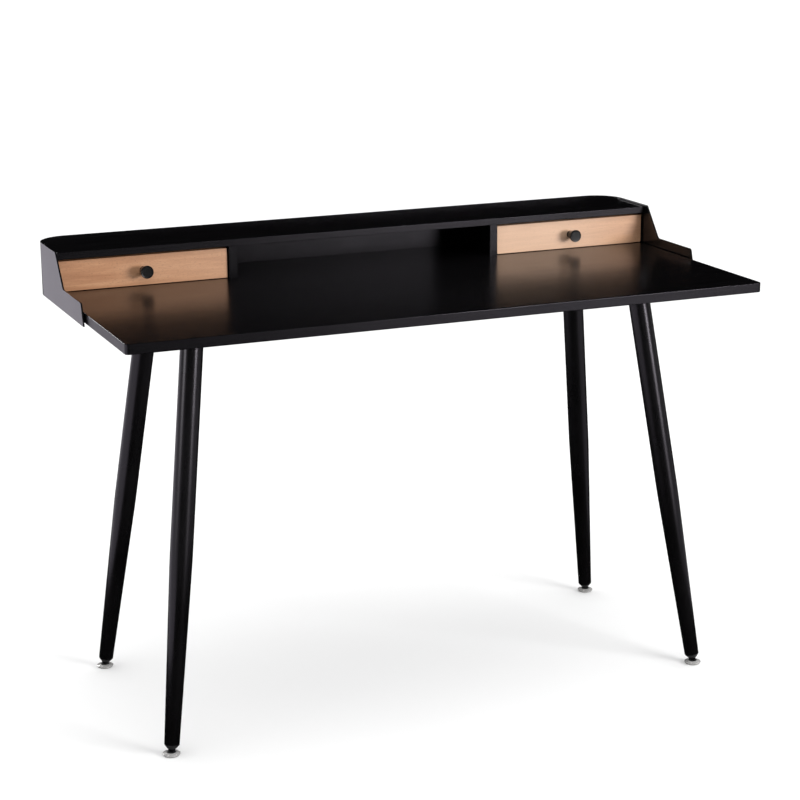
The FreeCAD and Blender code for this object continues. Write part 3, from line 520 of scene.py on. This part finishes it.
def piece(name, shape, body, slot, stand, *stands_for):
    """Makes a shape into an object that rides on a body and stands for CAD nodes."""
    bmesh.ops.remove_doubles(shape, verts=shape.verts, dist=MERGE)
    bmesh.ops.recalc_face_normals(shape, faces=shape.faces)
    mesh = bpy.data.meshes.new(name)
    shape.to_mesh(mesh)
    shape.free()
    for face in mesh.polygons:
        face.use_smooth = True
    mesh.set_sharp_from_angle(angle=math.radians(CREASE))
    mesh.materials.append(FINISHES[slot])
    made = bpy.data.objects.new(name, mesh)
    bpy.context.scene.collection.objects.link(made)
    made.matrix_world = stand
    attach(made, body)
    if stands_for:
        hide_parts(*stands_for)


def turned_points(places, origin, axis):
    """The (height, radius) of points about an axis."""
    points = []
    for place in places:
        offset = place - origin
        height = offset.dot(axis)
        points.append((height, (offset - axis * height).length))
    return points


def node_points(node, origin, axis):
    return turned_points([vertex.co for vertex in nodes[node].data.vertices], origin, axis)


def widest(points, height):
    """The largest radius among the points at a height."""
    return max(radius for level, radius in points if abs(level - height) < NEAR)


def heights_at(points, radius):
    """The lowest and highest of the points at a radius."""
    levels = [level for level, out in points if abs(out - radius) < NEAR]
    return min(levels), max(levels)


def islands(node):
    """The corners of each separate solid of a node, as lists of points."""
    shape = bmesh.new()
    shape.from_mesh(nodes[node].data)
    bmesh.ops.remove_doubles(shape, verts=shape.verts, dist=MERGE)
    seen = set()
    found = []
    for first in shape.verts:
        if first in seen:
            continue
        seen.add(first)
        queue = [first]
        for vertex in queue:
            for edge in vertex.link_edges:
                other = edge.other_vert(vertex)
                if other not in seen:
                    seen.add(other)
                    queue.append(other)
        found.append([vertex.co.copy() for vertex in queue])
    shape.free()
    return found


def span(places):
    """The middle and the sizes of the box round some points."""
    low = Vector([min(place[k] for place in places) for k in range(3)])
    high = Vector([max(place[k] for place in places) for k in range(3)])
    return (low + high) / 2, high - low


def hexagon(flat):
    """The radius of a hexagon at an angle, with a corner at angle 0."""
    return lambda angle: flat / math.cos(angle % (math.pi / 3) - math.pi / 6)


def clipped_hexagon(flat):
    return lambda angle: min(hexagon(flat)(angle), flat * HEX_CHAMFER)


# ---------------------------------------------------------------- knobs

def make_knob(side):
    """A turned knob: a straight foot, a cone, and a rim round a face that is dished a little."""
    node = "drawer_%s_knob" % side
    low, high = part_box(node)
    base = Vector(((low.x + high.x) / 2, high.y, (low.z + high.z) / 2))
    out = Vector((0, -1, 0))
    points = node_points(node, base, out)
    long = high.y - low.y
    face = (high.x - low.x) / 2
    foot = widest(points, 0)
    waist = heights_at(points, foot)[1]
    rim = heights_at(points, face)[0]
    bore = min(radius for level, radius in points if level < NEAR)
    hole = heights_at(points, bore)[1]
    profile = [(0, hole), (bore, hole), (bore, 0), (foot, 0, KNOB_FOOT_SOFT),
               (foot, waist, KNOB_WAIST_SOFT), (face, rim, KNOB_RIM_SOFT), (face, long, KNOB_FACE_SOFT),
               (face - KNOB_LIP, long, KNOB_LIP_SOFT),
               (face - 2 * KNOB_LIP, long - KNOB_DISH, KNOB_DISH_SOFT), (0, long - KNOB_DISH)]
    shape = lathe(profile, count=FINE_SIDES)
    piece("knob_" + side, shape, "drawer_" + side, "black_knob", standing(base, out), node)


# ---------------------------------------------------------------- legs and feet

def feet():
    """Each leg's name with its ball's centre and the direction up the leg, from the feet's joints."""
    turns = {joint["name"]: joint for joint in frame["joints"]}
    for leg in LEGS:
        turn = turns["foot_%s_turn" % leg]
        yield leg, Vector(turn["pos_m"]), -Vector(turn["axis"])


def mitre(stand, top, radius):
    """The height along a leg, at an angle round it, where a radius meets the level of its plate."""
    rise = stand.to_3x3()[2]
    lift = top - stand.translation.z
    return lambda angle: (lift - radius * (rise[0] * math.cos(angle) + rise[1] * math.sin(angle))) / rise[2]


def make_leg(leg, origin, up):
    """A drawn steel tube with a soft knee, cut to its plate at the top, with a weld round it."""
    node = "leg_" + leg
    stand = standing(origin, up)
    points = node_points(node, origin, up)
    start = min(points)[0]
    lower = widest(points, start)
    wall = lower - min(radius for level, radius in points if level < start + NEAR)
    upper = max(radius for _, radius in points)
    knee = heights_at(points, upper)[0]
    slope = (upper - lower) / (knee - start)
    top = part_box("leg_plate_" + leg)[0].z
    seam = mitre(stand, top, upper)

    def outline(height):
        if height >= knee + KNEE_SOFT:
            return upper
        if height <= knee - KNEE_SOFT:
            return upper - slope * (knee - height)
        return upper - slope * (knee + KNEE_SOFT - height) ** 2 / (4 * KNEE_SOFT)

    bends = [knee + KNEE_SOFT * (2 * step / KNEE_STEPS - 1) for step in range(KNEE_STEPS + 1)]
    roll = TUBE_ROLL * ROLL_MIDDLE
    outside = [(lower - TUBE_ROLL, start), (lower - roll, start + roll)]
    outside += [(outline(height), height) for height in [start + TUBE_ROLL] + bends]
    rings = [ring(height, radius, FINE_SIDES) for radius, height in outside]
    rings += [ring(seam, upper, FINE_SIDES), ring(mitre(stand, top, upper - wall), upper - wall, FINE_SIDES)]
    rings += [ring(knee, upper - wall, FINE_SIDES), ring(start, lower - wall, FINE_SIDES)]
    piece("tube_" + leg, skin(rings, closed=True), "desk", "black_tube_steel", stand, node)
    piece("weld_" + leg, bead(seam, upper), "desk", "black_tube_steel", stand)


def bead(seam, radius):
    """A rippled bead of weld along a seam round a tube."""
    def swell(turn):
        return BEAD * (1 - BEAD_SHALLOW + BEAD_SHALLOW * abs(math.sin(BEAD_RIPPLES * turn / 2)))

    rings = []
    for step in range(BEAD_SIDES):
        angle = 2 * math.pi * step / BEAD_SIDES
        rings.append(ring(lambda turn, angle=angle: seam(turn) + swell(turn) * math.sin(angle),
                          lambda turn, angle=angle: radius + swell(turn) * math.cos(angle), BEAD_COUNT))
    return skin(rings, closed=True)


def make_cap(leg, origin, up):
    node = "leg_cap_" + leg
    points = node_points(node, origin, up)
    tip = min(points)[0]
    end = max(points)[0]
    bore = min(radius for _, radius in points)
    wide = max(radius for _, radius in points)
    shoulder = heights_at(points, wide)[1]
    neck = widest(points, end)
    profile = [(bore, tip), (widest(points, tip), tip, CAP_TIP_SOFT),
               (wide, shoulder - CAP_LAND, CAP_EDGE_SOFT), (wide, shoulder), (neck, shoulder), (neck, end),
               (bore, end)]
    piece("cap_" + leg, lathe(profile, closed=True), "desk", "black_plastic", standing(origin, up), node)


def make_stud(leg, origin, up):
    """A ball, a neck, a hexagonal collar with chamfered corners, and a thread cut all the way up."""
    node = "foot_stud_" + leg
    points = node_points(node, origin, up)
    ball = -min(points)[0]
    end = max(points)[0]
    shank = widest(points, end)
    corner = max(radius for _, radius in points)
    collar, collar_end = heights_at(points, corner)
    flat = corner * math.cos(math.pi / 6)
    neck = ball * NECK_SHARE
    chamfer = (corner - flat * HEX_CHAMFER) / 2
    meet = math.asin(neck / ball)
    arc = [math.pi - (math.pi - meet) * step / BALL_STEPS for step in range(BALL_STEPS + 1)]
    rings = [ring(ball * math.cos(angle), ball * math.sin(angle), STUD_SIDES) for angle in arc]
    rings += [ring(collar, neck, STUD_SIDES), ring(collar, clipped_hexagon(flat), STUD_SIDES),
              ring(collar + chamfer, hexagon(flat), STUD_SIDES),
              ring(collar_end - chamfer, hexagon(flat), STUD_SIDES),
              ring(collar_end, clipped_hexagon(flat), STUD_SIDES)]
    rows = int((end - collar_end) / THREAD_PITCH * THREAD_ROWS)
    for row in range(rows + 1):
        height = collar_end + (end - collar_end) * row / rows
        fade = min(1, row / THREAD_ROWS, (rows - row) / THREAD_ROWS)

        def thread(angle, height=height, fade=fade):
            wave = (height / THREAD_PITCH - angle / (2 * math.pi)) % 1
            return shank - THREAD_DEPTH * fade * abs(2 * wave - 1)
        rings.append(ring(height, thread, STUD_SIDES))
    piece("stud_" + leg, skin(rings), "stud_" + leg, "black_tube_steel", standing(origin, up), node)


def make_pad(leg, origin):
    """A pressed dish, bright plated, with a black socket in it for the stud's ball."""
    node = "foot_pad_" + leg
    low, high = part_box(node)
    floor = Vector((origin.x, origin.y, low.z))
    points = node_points(node, floor, Vector((0, 0, 1)))
    tall = high.z - low.z
    wide = (high.x - low.x) / 2
    rim_low, rim_high = heights_at(points, wide)
    boss = widest(points, tall)
    hip = max(height for height, radius in points if boss + MM < radius < wide - MM)
    boss_foot = widest(points, hip)
    under_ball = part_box("foot_stud_" + leg)[0].z - low.z
    cavity = origin.z - under_ball + BALL_GAP
    pocket = under_ball / 2
    dish = [(0, 0), (widest(points, 0), 0, PAD_BASE_SOFT), (wide, rim_low, PAD_RIM_SOFT),
            (wide, rim_high, PAD_TOP_SOFT), (boss_foot, hip, PAD_TOP_SOFT), (boss_foot, pocket), (0, pocket)]
    upright = Matrix.Translation(floor)
    piece("pad_" + leg, lathe(dish, count=FINE_SIDES), "pad_" + leg, "chrome", upright, node)
    mouth = math.acos((tall - origin.z) / cavity)
    arc = [math.pi - (math.pi - mouth) * step / SOCKET_STEPS for step in range(SOCKET_STEPS + 1)]
    bowl = [(cavity * math.sin(angle), origin.z + cavity * math.cos(angle)) for angle in arc]
    cup = bowl + [(boss, tall, SOCKET_SOFT), (boss_foot, hip), (boss_foot, pocket), (0, pocket)]
    piece("socket_" + leg, lathe(cup), "pad_" + leg, "black_plastic", upright, node)


# ---------------------------------------------------------------- fasteners

def cross(reach, half):
    """The twelve corners of a cross, in order round it."""
    corners = []
    for turn in range(4):
        angle = turn * math.pi / 2
        for x, y in ((reach, -half), (reach, half), (half, half)):
            corners.append((x * math.cos(angle) - y * math.sin(angle),
                            x * math.sin(angle) + y * math.cos(angle)))
    return corners


def screw_shape(head, tall, shank, reach):
    """A pan-headed screw: its seat at z 0, its shank below it and a cross recess in its head."""
    profile = rounded([(0, -reach), (shank * POINT_SHARE, -reach), (shank, -reach + shank), (shank, 0),
                       (head, 0, SEAT_SOFT * head), (head, tall, HEAD_SOFT * tall), (head * CROWN, tall)])
    shape = skin([ring(height, radius, SCREW_SIDES) for radius, height in profile], top=False)
    shape.verts.ensure_lookup_table()
    last = shape.verts[-SCREW_SIDES:]
    bounds = [shape.edges.get((last[k], last[(k + 1) % SCREW_SIDES])) for k in range(SCREW_SIDES)]
    outline = cross(head * CROSS_REACH, head * CROSS_HALF)
    upper = [shape.verts.new((x, y, tall)) for x, y in outline]
    bed = tall * (1 - CROSS_DEEP)
    lower = [shape.verts.new((x * CROSS_TAPER, y * CROSS_TAPER, bed)) for x, y in outline]
    pairs = [(k, (k + 1) % len(outline)) for k in range(len(outline))]
    bounds += [shape.edges.new((upper[k], upper[n])) for k, n in pairs]
    bmesh.ops.triangle_fill(shape, use_beauty=True, edges=bounds)
    for k, n in pairs:
        shape.faces.new((upper[k], upper[n], lower[n], lower[k]))
    shape.faces.new(reversed(lower))
    return shape


def make_screws(node):
    """A recessed screw for each of a node's, measured and placed from it."""
    body = nodes[node]["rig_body"]
    for count, places in enumerate(islands(node)):
        middle, sizes = span(places)
        along = max(range(3), key=lambda k: sizes[k])
        axis = Vector([float(k == along) for k in range(3)])
        points = turned_points(places, middle, axis)
        if widest(points, min(points)[0]) > widest(points, max(points)[0]):
            axis = -axis
            points = turned_points(places, middle, axis)
        end, crown = min(points)[0], max(points)[0]
        head = widest(points, crown)
        seat = heights_at(points, head)[0]
        shape = screw_shape(head, crown - seat, widest(points, end), seat - end)
        stand = standing(middle + axis * seat, axis)
        stands_for = [node] if count == 0 else []
        piece("%s_%d" % (node, count), shape, body, "zinc_steel", stand, *stands_for)


def make_nuts(node):
    """Chamfered hexagon nuts, each with a bore for its pin."""
    for count, places in enumerate(islands(node)):
        middle, sizes = span(places)
        thin = min(range(3), key=lambda k: sizes[k])
        axis = Vector([float(k == thin) for k in range(3)])
        points = turned_points(places, middle, axis)
        half = sizes[thin] / 2
        bore = min(radius for _, radius in points)
        flat = max(radius for _, radius in points) * math.cos(math.pi / 6)
        side = half * (1 - NUT_CHAMFER)
        section = [(bore, -half), (clipped_hexagon(flat), -half), (hexagon(flat), -side),
                   (hexagon(flat), side), (clipped_hexagon(flat), half), (bore, half)]
        shape = skin([ring(height, radius, SCREW_SIDES) for radius, height in section], closed=True)
        stands_for = [node] if count == 0 else []
        piece("%s_%d" % (node, count), shape, nodes[node]["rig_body"], "zinc_steel", standing(middle, axis),
              *stands_for)


# ---------------------------------------------------------------- eased edges

def ease(node, width):
    """Takes the sharpness off a node's edges, so that they catch a thin line of light."""
    weld = nodes[node].modifiers.new("weld", "WELD")
    weld.merge_threshold = MERGE
    bevel = nodes[node].modifiers.new("ease", "BEVEL")
    bevel.width = width
    bevel.segments = 2
    bevel.limit_method = "ANGLE"
    bevel.angle_limit = math.radians(EASE_ANGLE)
    bevel.harden_normals = True


# ---------------------------------------------------------------- camera, floor and light

def make_camera():
    yaw, pitch, roll = (math.radians(angle) for angle in (CAMERA_YAW, CAMERA_PITCH, CAMERA_ROLL))
    forward = Vector((math.sin(yaw) * math.cos(pitch), math.cos(yaw) * math.cos(pitch), -math.sin(pitch)))
    level = Vector((math.cos(yaw), -math.sin(yaw), 0))
    sink = forward.cross(level)
    right = math.cos(roll) * level + math.sin(roll) * sink
    down = math.cos(roll) * sink - math.sin(roll) * level
    data = bpy.data.cameras.new("camera")
    data.lens = CAMERA_LENS
    camera = bpy.data.objects.new("camera", data)
    bpy.context.scene.collection.objects.link(camera)
    turn = Matrix((right, -down, -forward)).transposed().to_4x4()
    camera.matrix_world = Matrix.Translation(CAMERA_PLACE) @ turn
    bpy.context.scene.camera = camera


def lay(name, corners, level):
    """A flat sheet on the ground at a level."""
    mesh = bpy.data.meshes.new(name)
    mesh.from_pydata([(x, y, level) for x, y in corners], [], [tuple(range(len(corners)))])
    sheet = bpy.data.objects.new(name, mesh)
    bpy.context.scene.collection.objects.link(sheet)
    return sheet


def make_floor():
    corners = [(x * FLOOR_HALF, y * FLOOR_HALF) for x, y in ((-1, -1), (1, -1), (1, 1), (-1, 1))]
    floor = lay("floor", corners, -FLOOR_DROP)
    finish = Finish("floor_paint", IOR=1.3)
    cloud = finish.noise((1.5, 1.5, 1.5), detail=2)
    finish.colour(finish.ramp(cloud, [(0.3, (0.84, 0.84, 0.84)), (0.7, (0.86, 0.86, 0.86))]))
    finish.roughness(finish.spread(cloud, 0.3, 0.7, 0.85, 0.95))
    floor.data.materials.append(finish.material)


def make_world():
    """A pale dome, brightest overhead. The gloss doesn't see it, so it stays dark above the horizon."""
    world = bpy.data.worlds.new("studio")
    bpy.context.scene.world = world
    world.use_nodes = True
    tree = world.node_tree
    split = tree.nodes.new("ShaderNodeSeparateXYZ")
    tree.links.new(tree.nodes.new("ShaderNodeTexCoord").outputs["Generated"], split.inputs["Vector"])
    height = tree.nodes.new("ShaderNodeMath")
    height.operation = "POWER"
    height.use_clamp = True
    height.inputs[1].default_value = 2.0
    tree.links.new(split.outputs["Z"], height.inputs[0])
    strength = tree.nodes.new("ShaderNodeMapRange")
    strength.inputs["To Min"].default_value = DOME_LOW
    strength.inputs["To Max"].default_value = DOME_HIGH
    tree.links.new(height.outputs["Value"], strength.inputs["Value"])
    tree.links.new(strength.outputs["Result"], tree.nodes["Background"].inputs["Strength"])
    tree.nodes["Background"].inputs["Color"].default_value = (1.0, 1.0, 1.0, 1.0)
    world.cycles_visibility.glossy = False


def add_softbox(name, place, target, wide, tall, power, colour):
    data = bpy.data.lights.new(name, "AREA")
    data.shape = "RECTANGLE"
    data.size = wide
    data.size_y = tall
    data.energy = power
    data.color = colour
    light = bpy.data.objects.new(name, data)
    bpy.context.scene.collection.objects.link(light)
    light.location = place
    light.visible_camera = False
    light.rotation_euler = (Vector(target) - Vector(place)).to_track_quat("-Z", "Y").to_euler()
    return light


def add_flag(name, corners, low, high):
    """A cloth lying on the floor, which only the gloss sees, with the range of its colour."""
    flag = lay(name, corners, FLAG_LIFT)
    finish = Finish(name)
    cloth = finish.noise((300, 300, 300), detail=2)
    finish.colour(finish.ramp(cloth, [(0.3, low), (0.7, high)]))
    finish.roughness(finish.spread(cloth, 0.3, 0.7, 0.9, 1.0))
    flag.data.materials.append(finish.material)
    flag.visible_camera = False
    flag.visible_diffuse = False
    flag.visible_shadow = False


def make_lights():
    add_softbox(*KEY).visible_glossy = False
    for box in GLOSS_BOXES:
        add_softbox(*box).visible_diffuse = False
    for name, (corners, low, high) in FLAGS.items():
        add_flag(name, corners, low, high)
    bpy.context.scene.view_settings.view_transform = "Standard"


paint_frame()
for side in SIDES:
    make_knob(side)
for leg, origin, up in feet():
    make_leg(leg, origin, up)
    make_cap(leg, origin, up)
    make_stud(leg, origin, up)
    make_pad(leg, origin)
for node in SCREWS:
    make_screws(node)
for node, width in EASED.items():
    ease(node, width)
make_nuts("gallery_nuts")
make_camera()
make_floor()
make_world()
make_lights()
